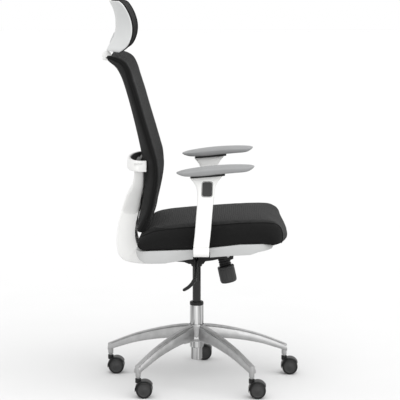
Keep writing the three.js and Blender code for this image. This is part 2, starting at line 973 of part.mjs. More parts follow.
// ---------------------------------------------------------------- arms
function armrest({ name, sign }) {
  const bracket = acrossY(
    [
      [sign * 178, 462.5],
      [sign * 286, 462.5],
      [sign * 296, 465.5],
      [sign * ARM_OUTER, 474],
      [sign * ARM_OUTER, 493.6],
      [sign * ARM_INNER, 493.6],
      [sign * ARM_INNER, 477],
      [sign * 266, 470.4],
      [sign * 178, 470.4],
    ],
    -46,
    4,
  );
  add(`arm_bracket_${name}`, bracket, white);

  const lean = Math.tan(ARM_LEAN);
  const leaning = (y, z) => y - lean * (z - 494);
  const postSide = [
    [leaning(-38.5, 493.9), 493.9],
    [leaning(-3.5, 493.9), 493.9],
    [leaning(-3.5, 650), 650],
    [leaning(-38.5, 650), 650],
  ];
  add(`arm_post_${name}`, acrossX(postSide, ...span(sign, 275.4, 289.2)), steel);

  const side = [
    [-46, 494.2],
    [4, 494.2],
    [-9, 631],
    [-9, 679],
    [-1, 698],
    [14, 711],
    [14, 715.6],
    [-89, 723.8],
    [-89, 718],
    [-71, 702],
    [-63, 679],
    [-59, 631],
  ];
  const cavity = [
    [leaning(-39, 480), 480],
    [leaning(-3, 480), 480],
    [leaning(-3, 690), 690],
    [leaning(-39, 690), 690],
  ];
  const column = acrossX(side, ...span(sign, ARM_INNER, ARM_OUTER));
  const window = block(span(sign, 292.4, 305), [-55.4, -22.6], [656.6, 704.4]);
  add(`arm_sleeve_${name}`, cut(column, acrossX(cavity, ...span(sign, 275, 289.6)), window), white);
  add(`arm_button_${name}`, block(span(sign, 295.2, 300.4), [-55, -23], [657, 704]), black);

  const outline = upright(
    [
      [sign * PAD_CENTRE - 26, -96],
      [sign * PAD_CENTRE + 26, -96],
      [sign * PAD_CENTRE + 30, -80],
      [sign * PAD_CENTRE + 30, -4],
      [sign * PAD_CENTRE + 26, 12],
      [sign * PAD_CENTRE - 26, 12],
      [sign * PAD_CENTRE - 30, -4],
      [sign * PAD_CENTRE - 30, -80],
    ],
    710,
    730,
  );
  const wedge = [
    [20, 715.5],
    [-100, 725.1],
    [-100, 730],
    [20, 730],
  ];
  add(`arm_plate_${name}`, common(outline, acrossX(wedge, ...span(sign, 250, 330))), black);
  add(`arm_pad_${name}`, armPad(sign), padGrey);
}

// A long pad with rounded ends, a flat top that climbs forward, and a pocket for the plate.
function armPad(sign) {
  const top = line([
    [57, 734],
    [30, 740],
    [-33, 751],
    [-96, 756],
    [-143, 757],
    [-188, 752],
  ]);
  const bottom = line([
    [57, 729],
    [30, 722],
    [-13, 722],
    [-90, 730],
    [-150, 737],
    [-188, 745],
  ]);
  const ring = 12;
  const pad = loft(ring, 14, (turn, along) => {
    const angle = -turn * 2 * Math.PI;
    const end = Math.abs(2 * along - 1);
    const half = 42 * Math.pow(Math.max(0.06, 1 - Math.pow(end, 4)), 0.5);
    const high = top(along);
    const low = bottom(along);
    const up = 0.5 + 0.5 * Math.sign(Math.sin(angle)) * Math.pow(Math.abs(Math.sin(angle)), 0.55);
    const side = Math.sign(Math.cos(angle)) * Math.pow(Math.abs(Math.cos(angle)), 0.5);
    return new THREE.Vector3(
      sign * PAD_CENTRE - side * half,
      mix(low.x, high.x, up),
      mix(low.y, high.y, up),
    );
  });
  const pocket = block(
    [sign * PAD_CENTRE - 30.6, sign * PAD_CENTRE + 30.6],
    [-122, 38],
    [700, 730.4],
  );
  return cut(pad, pocket);
}

// ---------------------------------------------------------------- the chair
add("base_star", base(), aluminium);
casters();
column();
add("tilt_housing", housing(), black);
add("seat_pivot_pin", bar(...SEAT_PIVOT, 5, -77, 77, 16), steel);
tensionKnob();
lever();
add("recline_bracket", reclineBracket(), black);
seat();
const backPad = panel(10, 20, (across, up, through) => backPoint(across, up, through, 0.35));
add("back_mesh", backPad, fabric);
add("back_spine", spine(), white);
add("back_support", support(), white);
add("lumbar_pad", lumbar(), black);
headrest();
SIDES.forEach(armrest);

export default chair;
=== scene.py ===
import math

import bmesh
import bpy
from mathutils import Matrix, Vector
from mathutils.bvhtree import BVHTree


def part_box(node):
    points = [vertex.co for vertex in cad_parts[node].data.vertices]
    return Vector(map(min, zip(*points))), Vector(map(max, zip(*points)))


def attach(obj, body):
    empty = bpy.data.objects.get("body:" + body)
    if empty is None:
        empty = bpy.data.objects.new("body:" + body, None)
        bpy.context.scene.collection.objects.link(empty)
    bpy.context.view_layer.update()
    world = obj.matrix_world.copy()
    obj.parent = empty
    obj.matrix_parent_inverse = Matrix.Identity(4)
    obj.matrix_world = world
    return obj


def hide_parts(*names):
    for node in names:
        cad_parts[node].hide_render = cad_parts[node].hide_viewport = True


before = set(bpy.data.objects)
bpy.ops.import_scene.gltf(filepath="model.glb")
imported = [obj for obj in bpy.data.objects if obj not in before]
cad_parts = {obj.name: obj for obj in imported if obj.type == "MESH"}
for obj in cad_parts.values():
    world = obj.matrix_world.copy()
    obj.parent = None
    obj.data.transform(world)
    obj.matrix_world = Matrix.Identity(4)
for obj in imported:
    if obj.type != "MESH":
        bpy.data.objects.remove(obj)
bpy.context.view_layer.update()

MM = 0.001
GAP = 0.3
SIDES = (("left", 1), ("right", -1))
CASTERS = range(1, 6)
CORNER_SHARE = 0.45  # the most of a side that a softened corner may take
ON_AXIS = 1e-6


# ---------------------------------------------------------------- numbers
def mix(a, b, t):
    return a + (b - a) * t


def clamp(t, low=0.0, high=1.0):
    return max(low, min(high, t))


def smooth(low, high, value):
    t = clamp((value - low) / (high - low))
    return t * t * (3 - 2 * t)


def power(value, exponent):
    return math.copysign(abs(value) ** exponent, value)


BOXES = {}


def box(node):
    """A CAD node's lowest and highest corners in millimetres."""
    if node not in BOXES:
        low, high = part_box(node)
        BOXES[node] = low / MM, high / MM
    return BOXES[node]


def middle(node):
    low, high = box(node)
    return (low + high) / 2


def curve(points):
    """A smooth line through points, as a function of 0..1; a little below 0 it runs straight on, and past 1
    it stays at the last point.
    """
    points = [Vector(p) for p in points]
    last = len(points) - 1

    def at(t):
        if t < 0:
            return points[0] + (points[1] - points[0]) * t * last
        place = clamp(t) * last
        i = min(int(place), last - 1)
        f = place - i
        p0, p1 = points[max(i - 1, 0)], points[i]
        p2, p3 = points[i + 1], points[min(i + 2, last)]
        tangent1, tangent2 = (p2 - p0) / 2, (p3 - p1) / 2
        f2, f3 = f * f, f * f * f
        return (
            p1 * (2 * f3 - 3 * f2 + 1)
            + tangent1 * (f3 - 2 * f2 + f)
            + p2 * (3 * f2 - 2 * f3)
            + tangent2 * (f3 - f2)
        )

    return at


def sampled(points, count):
    """count points along a smooth line through points."""
    at = curve(points)
    return [at(i / (count - 1)) for i in range(count)]


def soft_corner(before, corner, after, radius, steps):
    """Points that cut a corner at about the given radius, less where its sides are short."""
    back, ahead = before - corner, after - corner
    reach = min(radius, back.length * CORNER_SHARE, ahead.length * CORNER_SHARE)
    start, end = corner + back.normalized() * reach, corner + ahead.normalized() * reach
    shares = [k / steps for k in range(steps + 1)]
    return [start * (1 - t) ** 2 + corner * 2 * t * (1 - t) + end * t * t for t in shares]


def rounded(outline, radius, steps=5):
    """A closed 2-D outline with its corners softened."""
    points = [Vector(p) for p in outline]
    result = []
    for i, corner in enumerate(points):
        result += soft_corner(points[i - 1], corner, points[(i + 1) % len(points)], radius, steps)
    return result


def softened_profile(profile, radius, steps=4):
    """An open [radius, z] profile with its corners softened, but not its two ends."""
    points = [Vector(p) for p in profile]
    result = [points[0]]
    for before, corner, after in zip(points, points[1:], points[2:]):
        result += soft_corner(before, corner, after, radius, steps)
    return result + [points[-1]]


def mirrored(half, crest=()):
    """A closed outline from its right half, with the points of the crest between the halves."""
    return [*half, *crest, *((-x, y) for x, y in reversed(half))]


def oval(steps, side_power, up_power):
    """[side, up] points of -1..1 round an ellipse that powers below 1 make squarer."""
    turns = [2 * math.pi * k / steps for k in range(steps)]
    return [(power(math.cos(a), side_power), power(math.sin(a), up_power)) for a in turns]


# ---------------------------------------------------------------- mesh building, in millimetres
def skin(rings, caps=True):
    """Quads between closed rings of points."""
    bm = bmesh.new()
    rows = [[bm.verts.new(Vector(p) * MM) for p in ring] for ring in rings]
    count = len(rows[0])
    for a, b in zip(rows, rows[1:]):
        for i in range(count):
            j = (i + 1) % count
            bm.faces.new((a[i], a[j], b[j], b[i]))
    if caps:
        bm.faces.new(list(reversed(rows[0])))
        bm.faces.new(rows[-1])
    bmesh.ops.recalc_face_normals(bm, faces=bm.faces)
    return bm


def turned(profile, steps=64):
    """A body of revolution about Z from [radius, z] points, closed on itself or on the axis."""
    bm = bmesh.new()
    turns = [2 * math.pi * k / steps for k in range(steps)]
    rows = []
    for radius, z in profile:
        ring = [(radius * math.cos(a), radius * math.sin(a), z) for a in turns]
        places = [(0, 0, z)] if radius < ON_AXIS else ring
        rows.append([bm.verts.new(Vector(p) * MM) for p in places])
    closed = profile[0][0] > ON_AXIS and profile[-1][0] > ON_AXIS
    pairs = list(zip(rows, rows[1:])) + ([(rows[-1], rows[0])] if closed else [])
    for a, b in pairs:
        for k in range(steps):
            j = (k + 1) % steps
            if len(a) == 1 and len(b) > 1:
                bm.faces.new((a[0], b[j], b[k]))
            elif len(b) == 1 and len(a) > 1:
                bm.faces.new((a[k], a[j], b[0]))
            elif len(a) > 1:
                bm.faces.new((a[k], a[j], b[j], b[k]))
    bmesh.ops.recalc_face_normals(bm, faces=bm.faces)
    return bm


def two_sheets(columns, rows, place, solid=lambda across, up: True):
    """Two grids joined round their open edges; place gives a point from across, up and the sheet."""
    bm = bmesh.new()
    table = {}
    for sheet in (0, 1):
        for j in range(rows + 1):
            for i in range(columns + 1):
                table[sheet, j, i] = bm.verts.new(place(i / columns * 2 - 1, j / rows, sheet) * MM)
    open_edges = {}
    for j in range(rows):
        for i in range(columns):
            if not solid((i + 0.5) / columns * 2 - 1, (j + 0.5) / rows):
                continue
            corners = ((j, i), (j, i + 1), (j + 1, i + 1), (j + 1, i))
            bm.faces.new([table[(0, *at)] for at in corners])
            bm.faces.new([table[(1, *at)] for at in reversed(corners)])
            for a, b in zip(corners, corners[1:] + corners[:1]):
                if (b, a) in open_edges:
                    del open_edges[b, a]
                else:
                    open_edges[a, b] = True
    for a, b in open_edges:
        bm.faces.new([table[(0, *a)], table[(1, *a)], table[(1, *b)], table[(0, *b)]])
    loners = [v for v in bm.verts if not v.link_faces]
    bmesh.ops.delete(bm, geom=loners, context="VERTS")
    bmesh.ops.recalc_face_normals(bm, faces=bm.faces)
    return bm


def tube_between(front, rear, across, stations, shape):
    """A tube between two side outlines; across gives its middle and half width at 0..1 along it."""
    rings = []
    for i in range(stations + 1):
        along = i / stations
        near, far = front(along), rear(along)
        centre, half = across(along)
        ring = []
        for side, depth in shape:
            at = near + (far - near) * (0.5 + 0.5 * depth)
            ring.append((centre + side * half, at.x, at.y))
        rings.append(ring)
    return skin(rings)


def swept(path, section, caps=True):
    """A section of [side, up] points carried along a path of 3-D points without twisting."""
    path = [Vector(p) for p in path]
    rings = []
    side = None
    for i, point in enumerate(path):
        ahead = (path[min(i + 1, len(path) - 1)] - path[max(i - 1, 0)]).normalized()
        if side is None:
            guess = Vector((0, 0, 1)) if abs(ahead.z) < 0.9 else Vector((0, 1, 0))
            side = ahead.cross(guess).normalized()
        side = (side - ahead * side.dot(ahead)).normalized()
        up = side.cross(ahead)
        rings.append([point + side * a + up * b for a, b in section])
    return skin(rings, caps=caps)


def circle(radius, steps=12):
    turns = [2 * math.pi * k / steps for k in range(steps)]
    return [(radius * math.cos(a), radius * math.sin(a)) for a in turns]


def prism(outline, low, high, axis="x", bevel=1.0, steps=2):
    """An outline drawn out between low and high along an axis, with its end edges bevelled."""
    place = {
        "x": lambda a, b, depth: (depth, a, b),
        "z": lambda a, b, depth: (a, b, depth),
    }[axis]
    bm = skin([[place(*p, depth) for p in outline] for depth in (low, high)])
    if bevel:
        caps = [f for f in bm.faces if len(f.verts) == len(outline)]
        bevelled(bm, list({e for f in caps for e in f.edges}), bevel, steps)
    return bm


def bevelled(bm, edges, width, steps):
    settings = {"segments": steps, "profile": 0.5, "affect": "EDGES", "clamp_overlap": True}
    bmesh.ops.bevel(bm, geom=edges, offset=width * MM, **settings)


def merged(*parts):
    """One bmesh that holds several."""
    whole = bmesh.new()
    for part in parts:
        mesh = bpy.data.meshes.new("part")
        part.to_mesh(mesh)
        part.free()
        whole.from_mesh(mesh)
        bpy.data.meshes.remove(mesh)
    return whole


def moved(bm, matrix):
    bmesh.ops.transform(bm, matrix=matrix, verts=bm.verts)
    return bm


def shifted(bm, x=0.0, y=0.0, z=0.0):
    return moved(bm, Matrix.Translation(Vector((x, y, z)) * MM))


def along_x(bm, sign=1):
    """Turns a body of revolution's axis from Z to X, or to -X."""
    return moved(bm, Matrix.Rotation(sign * math.pi / 2, 4, "Y"))


def node_copy(node, bevel, angle=24, steps=3):
    """The CAD node's shape with its flat facets joined and its sharp edges bevelled."""
    bm = bmesh.new()
    bm.from_mesh(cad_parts[node].data)
    bmesh.ops.remove_doubles(bm, verts=bm.verts, dist=1e-6)
    bmesh.ops.dissolve_limit(
        bm, angle_limit=math.radians(1.5), verts=bm.verts, edges=bm.edges, use_dissolve_boundaries=False
    )
    inner = [e for e in bm.edges if len(e.link_faces) == 2]
    bevelled(bm, [e for e in inner if e.calc_face_angle(0) > math.radians(angle)], bevel, steps)
    return bm


def loose(name, bm):
    """A mesh object that isn't a piece yet."""
    mesh = bpy.data.meshes.new(name)
    bm.to_mesh(mesh)
    bm.free()
    obj = bpy.data.objects.new(name, mesh)
    bpy.context.scene.collection.objects.link(obj)
    return obj


def piece(name, bm, body, material, replaces, sharp=35):
    """Puts a mesh in the scene as a piece that rides on a body and stands for CAD nodes."""
    obj = loose(name, bm)
    obj.data.materials.append(material)
    obj.data.shade_smooth()
    obj.data.set_sharp_from_angle(angle=math.radians(sharp))
    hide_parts(*replaces)
    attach(obj, body)
    return obj


def apply_modifiers(obj):
    graph = bpy.context.evaluated_depsgraph_get()
    mesh = bpy.data.meshes.new_from_object(obj.evaluated_get(graph))
    obj.modifiers.clear()
    old, obj.data = obj.data, mesh
    bpy.data.meshes.remove(old)
    return obj


# ---------------------------------------------------------------- materials
class Shading:
    """A principled material with a few helpers for its nodes."""

    def __init__(self, name, slot):
        self.material = bpy.data.materials.new(name)
        self.material.use_nodes = True
        self.material["slot"] = slot
        self.tree = self.material.node_tree
        self.shader = self.tree.nodes["Principled BSDF"]
        self.place = self.node("ShaderNodeTexCoord").outputs["Object"]

    def node(self, kind, **settings):
        made = self.tree.nodes.new(kind)
        for key, value in settings.items():
            setattr(made, key, value)
        return made

    def link(self, a, b):
        self.tree.links.new(a, b)

    def set(self, **sockets):
        for key, value in sockets.items():
            self.shader.inputs[key.replace("_", " ")].default_value = value
        return self

    def scaled(self, factors):
        made = self.node("ShaderNodeVectorMath", operation="MULTIPLY")
        self.link(self.place, made.inputs[0])
        made.inputs[1].default_value = factors
        return made.outputs[0]

    def noise(self, scale, detail=3.0, rough=0.5, stretch=(1, 1, 1)):
        made = self.node("ShaderNodeTexNoise")
        self.link(self.scaled(stretch), made.inputs["Vector"])
        made.inputs["Scale"].default_value = scale
        made.inputs["Detail"].default_value = detail
        made.inputs["Roughness"].default_value = rough
        return made.outputs["Fac"]

    def cells(self, scale, stretch=(1, 1, 1), feature="F1"):
        made = self.node("ShaderNodeTexVoronoi", feature=feature)
        self.link(self.scaled(stretch), made.inputs["Vector"])
        made.inputs["Scale"].default_value = scale
        return made.outputs["Distance"]

    def math(self, operation, a, b=None):
        made = self.node("ShaderNodeMath", operation=operation)
        for socket, value in zip(made.inputs, (a, b)):
            if value is None:
                continue
            if isinstance(value, (int, float)):
                socket.default_value = value
            else:
                self.link(value, socket)
        return made.outputs[0]

    def wave(self, direction, pitch):
        """A sine of -1..1 along a direction, one turn every pitch millimetres."""
        made = self.node("ShaderNodeVectorMath", operation="DOT_PRODUCT")
        self.link(self.place, made.inputs[0])
        turns = 2 * math.pi / (pitch * MM)
        made.inputs[1].default_value = Vector(direction) * turns
        return self.math("SINE", made.outputs["Value"])

    def ranged(self, value, low, high, start=0.0, end=1.0):
        made = self.node("ShaderNodeMapRange")
        self.link(value, made.inputs["Value"])
        for key, number in (("From Min", start), ("From Max", end), ("To Min", low), ("To Max", high)):
            made.inputs[key].default_value = number
        return made.outputs["Result"]

    def colour(self, value, dark, light):
        made = self.node("ShaderNodeMix", data_type="RGBA")
        self.link(value, made.inputs["Factor"])
        made.inputs["A"].default_value = (*dark, 1)
        made.inputs["B"].default_value = (*light, 1)
        self.link(made.outputs["Result"], self.shader.inputs["Base Color"])
        return self

    def rough(self, value, low, high):
        self.link(self.ranged(value, low, high), self.shader.inputs["Roughness"])
        return self

    def bump(self, *layers):
        """Each layer is (height, strength, distance in millimetres)."""
        normal = None
        for height, strength, distance in layers:
            made = self.node("ShaderNodeBump")
            made.inputs["Strength"].default_value = strength
            made.inputs["Distance"].default_value = distance * MM
            self.link(height, made.inputs["Height"])
            if normal:
                self.link(normal, made.inputs["Normal"])
            normal = made.outputs["Normal"]
        self.link(normal, self.shader.inputs["Normal"])
        return self


def grey(level, tint=(1, 1, 1)):
    return tuple(level * t for t in tint)


def plastic(name, slot, level, spread, rough, grain, depth, tint=(1, 1, 1), **sockets):
    made = Shading(name, slot)
    made.colour(made.noise(26, 4), grey(level * (1 - spread), tint), grey(level * (1 + spread), tint))
    made.rough(made.noise(60, 3), *rough)
    made.bump((made.noise(grain, 2), 0.35, depth), (made.noise(38, 2), 0.12, 0.25))
    return made.set(**sockets).material


def polished(name, slot, level, rough, streak=(1, 1, 1), depth=0.03, spread=0.06, tone_and_reflection_scale=40):
    made = Shading(name, slot).set(Metallic=1.0)
    # The colour is a random tone. With a wide spread and a long stretch along Z, as on the chrome, it becomes
    # a painted reflection: light and dark streaks in the colour.
    tone_and_reflection = made.ranged(made.noise(tone_and_reflection_scale, 4, 0.6, streak), 0, 1, 0.32, 0.68)
    made.colour(tone_and_reflection, grey(level * (1 - spread)), grey(level * (1 + spread)))
    made.rough(made.noise(220, 4, 0.6, streak), *rough)
    made.bump((made.noise(300, 2, 0.4, streak), 0.2, depth), (made.noise(24, 2), 0.08, 0.1))
    return made.material


def mesh_fabric(name, dark, light, direction, pitch, sheen):
    """Knitted spacer mesh: ribs across a direction, with a fine open cell between them."""
    made = Shading(name, "mesh_fabric")
    ribs = made.wave(direction, pitch)
    cells = made.cells(430, feature="SMOOTH_F1")
    open_cells = made.ranged(cells, 0, 1, 0.15, 0.6)
    shade = made.math("MULTIPLY", made.ranged(ribs, 0.45, 1, -1, 1), open_cells)
    shade = made.math("MULTIPLY", shade, made.ranged(made.noise(17, 3), 0.8, 1.15))
    made.colour(shade, dark, light)
    made.rough(cells, 0.75, 0.95)
    made.bump((open_cells, 0.5, 0.5), (ribs, 0.55, 0.5), (made.noise(60, 3), 0.15, 0.8))
    made.set(Sheen_Weight=sheen, Sheen_Roughness=0.45, Specular_IOR_Level=0.12)
    return made.material


def woven_fabric(name, dark, light):
    """A plain close weave for the side bands and the piping."""
    made = Shading(name, "mesh_fabric")
    warp = made.wave((0.7, 1, 1), 1.7)
    weft = made.wave((0.7, -1, 1), 1.7)
    weave = made.math("MULTIPLY", warp, weft)
    worn = made.noise(21, 4)
    shade = made.math("MULTIPLY", made.ranged(weave, 0.5, 1, -1, 1), made.ranged(worn, 0.75, 1.1))
    made.colour(shade, dark, light)
    made.rough(worn, 0.8, 0.95)
    made.bump((weave, 0.5, 0.25), (made.noise(55, 3), 0.18, 0.8))
    made.set(Sheen_Weight=0.02, Sheen_Roughness=0.5, Specular_IOR_Level=0.1)
    return made.material


def black(name, slot, level, spread, rough, grain, depth, shine=0.25):
    return plastic(name, slot, level, spread, rough, grain, depth, Specular_IOR_Level=shine)


ALUMINIUM = polished("polished_aluminium", "polished_aluminium", 0.4, (0.36, 0.48), depth=0.004, spread=0.1)
# Painted reflection: the chrome's colour is long light and dark vertical streaks that stand in for its
# surroundings reflected in it.
CHROME = polished("chrome", "chrome_tube", 0.45, (0.06, 0.16), (1, 1, 0.02), spread=0.9, tone_and_reflection_scale=110)
STEEL = polished("bright_steel", "bright_steel", 0.45, (0.22, 0.4), (1, 1, 0.1))
BLACK_STEEL = black("black_powder_coat", "black_steel", 0.008, 0.3, (0.3, 0.42), 700, 0.08)
CYLINDER_BLACK = black("cylinder_black", "black_steel", 0.008, 0.25, (0.14, 0.24), 500, 0.02, 0.4)
CASTING = black("black_casting", "black_casting", 0.008, 0.3, (0.4, 0.55), 420, 0.2)
BLACK = black("black_plastic", "black_plastic", 0.009, 0.2, (0.38, 0.5), 800, 0.1)
KNOB_BLACK = black("knob_plastic", "black_plastic", 0.028, 0.15, (0.42, 0.5), 700, 0.08, 0.35)
BUTTON = black("button_plastic", "button_plastic", 0.034, 0.12, (0.4, 0.5), 700, 0.06, 0.3)
DISC = black("wheel_disc", "caster_tyre", 0.026, 0.15, (0.42, 0.52), 700, 0.06, 0.35)
TREAD = black("wheel_tread", "caster_tyre", 0.008, 0.3, (0.3, 0.45), 500, 0.1, 0.3)
WHITE = plastic("white_plastic", "white_plastic", 0.74, 0.02, (0.28, 0.42), 900, 0.03, (1, 1, 0.985))
SHELL = plastic("headrest_white", "headrest_white", 0.56, 0.025, (0.3, 0.42), 900, 0.03, (0.985, 1, 0.995))
PAN = plastic("pan_grey", "pan_grey", 0.42, 0.04, (0.36, 0.5), 800, 0.06, (0.99, 1, 0.995))
PAD_TINT = (0.99, 1, 1.01)
PAD = plastic("pad_grey", "pad_grey", 0.235, 0.07, (0.5, 0.62), 620, 0.12, PAD_TINT, Specular_IOR_Level=0.3)
MESH = mesh_fabric("seat_mesh", grey(0.004), grey(0.034), (0, 1, 1), 6.2, 0.03)
BACK_MESH = mesh_fabric("back_mesh_fabric", grey(0.004), grey(0.032), (1, 0, 0), 5.0, 0.04)
WEAVE = woven_fabric("side_fabric", grey(0.004), grey(0.010))


# ---------------------------------------------------------------- base
BETWEEN_LEGS = math.radians(36)


def leg(angle):
    """One leg: a narrow ridge with a groove under it, and sides that slope out to the lower edge."""
    top = curve([(24, 189.5), (62, 185), (116, 174), (169, 160), (223, 143), (277, 121), (317, 103.5)])
    rings = []
    for i in range(25):
        along = i / 24
        spine = top(along)
        depth = mix(55, 24, along**0.6)
        root = mix(0.62, 1, smooth(0, 0.2, along))
        half = mix(17.5, 11.6, along) * root
        ridge = mix(7.5, 6, along) * root
        flank = [
            (0.9 * half, -depth), (half, 3 - depth), (half * 0.96, -depth * 0.55),
            (mix(ridge, half, 0.42), -9),
            (ridge + 0.4, -6.6), (ridge + 1.8, -4.2), (ridge + 1.6, -1.6), (ridge, -0.3),
        ]
        section = mirrored(flank, [(0, 0)])
        rings.append([(spine.x, side, spine.y + up) for side, up in section])
    body = skin(rings)
    low, _ = box("base_star")
    boss_top = top(1.0).y + 0.2
    boss = [(5.8, 92), (5.8, low.z + 0.3), (7.6, low.z), (8.8, low.z + 1.2)]
    boss = turned(softened_profile([*boss, (8.8, boss_top - 2), (0, boss_top)], 1.2), 32)
    reach = math.hypot(*middle("caster_stem_1").xy)
    return moved(merged(body, shifted(boss, reach)), Matrix.Rotation(angle, 4, "Z"))


def web(angle):
    """The curved wall between two legs, close to the hub."""
    rings = []
    for i in range(13):
        turn = (i / 12 - 0.5) * 2
        swing = angle + turn * BETWEEN_LEGS
        reach = 30 + 34 * turn**4
        foot = mix(136, 131, turn * turn)
        outer, inner = reach + 1.5, reach - 3
        top = mix(150, 176, turn * turn)
        section = [(inner, foot + 2), (outer + 2.4, foot), (outer + 3, foot + 4.5)]
        section += [(outer, foot + 7), (outer - 2, top - 2), (inner, top)]
        rings.append([(r * math.cos(swing), r * math.sin(swing), z) for r, z in section])
    return skin(rings)


def base():
    stems = [middle(f"caster_stem_{n}") for n in CASTERS]
    angles = [math.atan2(s.y, s.x) for s in stems]
    hub = [(23.9, 189), (23.9, 134.5), (26, 133), (27.6, 134), (28.5, 138)]
    hub += [(28.5, 186), (27.6, 189.5), (24.4, 190)]
    hub = turned(softened_profile(hub, 1), 72)
    legs = [leg(a) for a in angles]
    webs = [web(a + BETWEEN_LEGS) for a in angles]
    piece("star_base", merged(hub, *legs, *webs), "root", ALUMINIUM, ["base_star"], 32)


# ---------------------------------------------------------------- casters
def wheel(sign, inner, outer, radius):
    """A wheel about X: rounded tread, a step, a dished disc with a raised ring and a hub cap."""
    width = outer - inner
    tread = [
        (3.4, inner), (radius - 3.2, inner), (radius - 0.9, inner + 1), (radius, inner + 3.2),
        (radius, outer - 5.2), (radius - 0.8, outer - 2.2), (radius - 3.4, outer - 0.6),
        (radius - 4.6, outer - 0.8), (radius - 5.2, outer - 2.2), (3.4, outer - 2.4),
    ]
    disc = [
        (0, outer - width * 0.6), (radius - 5.6, outer - width * 0.6), (radius - 5.6, outer - 1.6),
        (radius - 6.2, outer - 0.5), (radius - 8, outer - 0.3), (radius - 9.4, outer - 1.2),
        (radius - 12, outer - 1.0), (6.5, outer - 0.6), (5.4, outer - 0.1), (0, outer),
    ]
    return along_x(turned(tread, 56), sign), along_x(turned(disc, 56), sign)


HOOD_WEB = 5
HOOD_PLATE = [(0, 0)] + [(28.6, math.radians(a)) for a in range(-8, 150, 8)]
HOOD_STEPS = 28


def hood(radius, trail):
    """The hood round the wheels' upper half, its crescent lip, the neck and the web; about the axle."""
    clear, half = radius + 1.5, 23.5
    outer = clear + 2.0
    rings = []
    for i in range(HOOD_STEPS + 1):
        along = i / HOOD_STEPS
        turn = math.radians(mix(-10, 152, along))
        lip = smooth(0, 0.12, along) * smooth(0, 0.12, 1 - along)
        edge = half - 1.5 * (1 - lip)
        side = [(HOOD_WEB, clear), (edge, clear), (edge + 0.6, clear + 0.6), (edge - 0.6, outer - 0.4)]
        section = mirrored([*side, (edge - 4, outer)])
        rings.append([(x, r * math.cos(turn), r * math.sin(turn)) for x, r in section])
    cover = skin(rings)
    top = box("caster_hood_1")[1].z - middle("caster_wheel_1_left").z
    neck = [(5.8, top - 0.6), (8.8, top), (9.5, top - 1.4), (9.5, 21), (5.8, 20), (5.8, top - 0.6)]
    neck = turned(softened_profile(neck, 0.8), 36)
    plate = [(r * math.cos(a), r * math.sin(a)) for r, a in HOOD_PLATE]
    webbing = prism(plate, -HOOD_WEB, HOOD_WEB, "x", 0.6)
    axle = along_x(turned([(0, -20), (2.7, -20), (2.7, 20), (0, 20)], 20))
    return merged(cover, shifted(neck, 0, trail), webbing, axle)


def casters():
    for n in CASTERS:
        stem = middle(f"caster_stem_{n}")
        for side, sign in SIDES:
            name = f"caster_wheel_{n}_{side}"
            low, high = box(name)
            centre = (low + high) / 2
            radius = (high.z - low.z) / 2
            faces = sorted((abs(low.x - stem.x), abs(high.x - stem.x)))
            tread, disc = wheel(sign, *faces, radius)
            body = f"wheel_{n}_{side}"
            piece(f"tread_{n}_{side}", shifted(tread, stem.x, centre.y, centre.z), body, TREAD, [name])
            piece(f"disc_{n}_{side}", shifted(disc, stem.x, centre.y, centre.z), body, DISC, [name])
        shell = hood(radius, stem.y - centre.y)
        shell = shifted(shell, stem.x, centre.y, centre.z)
        piece(f"hood_{n}", shell, f"caster_{n}", BLACK, [f"caster_hood_{n}"])


# ---------------------------------------------------------------- column
def column():
    radius = box("column_tube")[1].x
    low, high = (v.z for v in box("column_tube"))
    tube = [
        (5.4, low), (18.0, low), (18.5, low + 1), (18.5, 107), (19.3, 110.5), (radius - 0.9, 112.6),
        (radius, 115), (radius, high - 0.6), (radius - 0.5, high), (radius - 2.8, high),
        (radius - 2.8, 118), (15.6, 112), (15.6, low + 4), (5.4, low + 4),
    ]
    piece("chrome_tube", turned(tube, 96), "root", CHROME, ["column_tube"], 28)
    bore = box("gas_cylinder")[1].x + 0.5
    low, high = (v.z for v in box("column_collar"))
    rim = box("column_tube")[1].z + GAP
    collar = [(bore, low), (radius - 3.1, low), (radius - 3.1, rim), (radius - 0.1, rim), (radius, rim + 0.8)]
    collar += [(radius, high - 3.4), (radius - 1.4, high - 0.6), (bore + 2, high), (bore, high - 0.8)]
    collar = softened_profile([*collar, collar[0]], 0.5)
    piece("collar", turned(collar, 72), "root", BLACK, ["column_collar"])
    low, high = (v.z for v in box("gas_cylinder"))
    shaft = box("gas_cylinder")[1].x
    cylinder = [
        (5.6, low), (shaft - 1.2, low), (shaft, low + 1.2), (shaft, 384), (shaft - 0.5, 386),
        (shaft - 0.5, high - 1), (shaft - 1.5, high), (0, high), (0, 392), (5.6, 392), (5.6, low),
    ]
    piece("cylinder", turned(cylinder, 72), "mechanism", CYLINDER_BLACK, ["gas_cylinder"])


# ---------------------------------------------------------------- tilt mechanism
KNOB_TOP = (0, -90.3, 412)
KNOB_TILT = math.radians(12.4)


def on_knob_axis(bm):
    return shifted(moved(bm, Matrix.Rotation(-KNOB_TILT, 4, "X")), *KNOB_TOP)


def mechanism():
    piece("housing", node_copy("tilt_housing", 1.6), "mechanism", CASTING, ["tilt_housing"])
    pivot = middle("seat_pivot_pin")
    reach = box("seat_pivot_pin")[1].x
    pin = [(0, -reach), (3.4, -reach), (5, 1.4 - reach), (5, reach - 1.4), (3.4, reach), (0, reach)]
    pin = turned(pin, 32)
    piece("pivot_pin", shifted(along_x(pin), 0, pivot.y, pivot.z), "mechanism", STEEL, ["seat_pivot_pin"])
    neck = [(0, -GAP)]
    for i in range(3):
        top = -GAP - 8.4 * i
        neck += [(19.2, top), (20.2, top - 0.7), (20.5, top - 2.4), (20.2, top - 4.1), (19.2, top - 5.1)]
        neck += [(18.8, top - 6), (18.6, top - 7.2)]
    neck += [(19.6, -25.2), (0, -25.4)]
    piece("knob_neck", on_knob_axis(turned(neck, 56)), "mechanism", BLACK, ["tension_neck"], 50)
    piece("knob", on_knob_axis(knob()), "knob", KNOB_BLACK, ["tension_knob"])


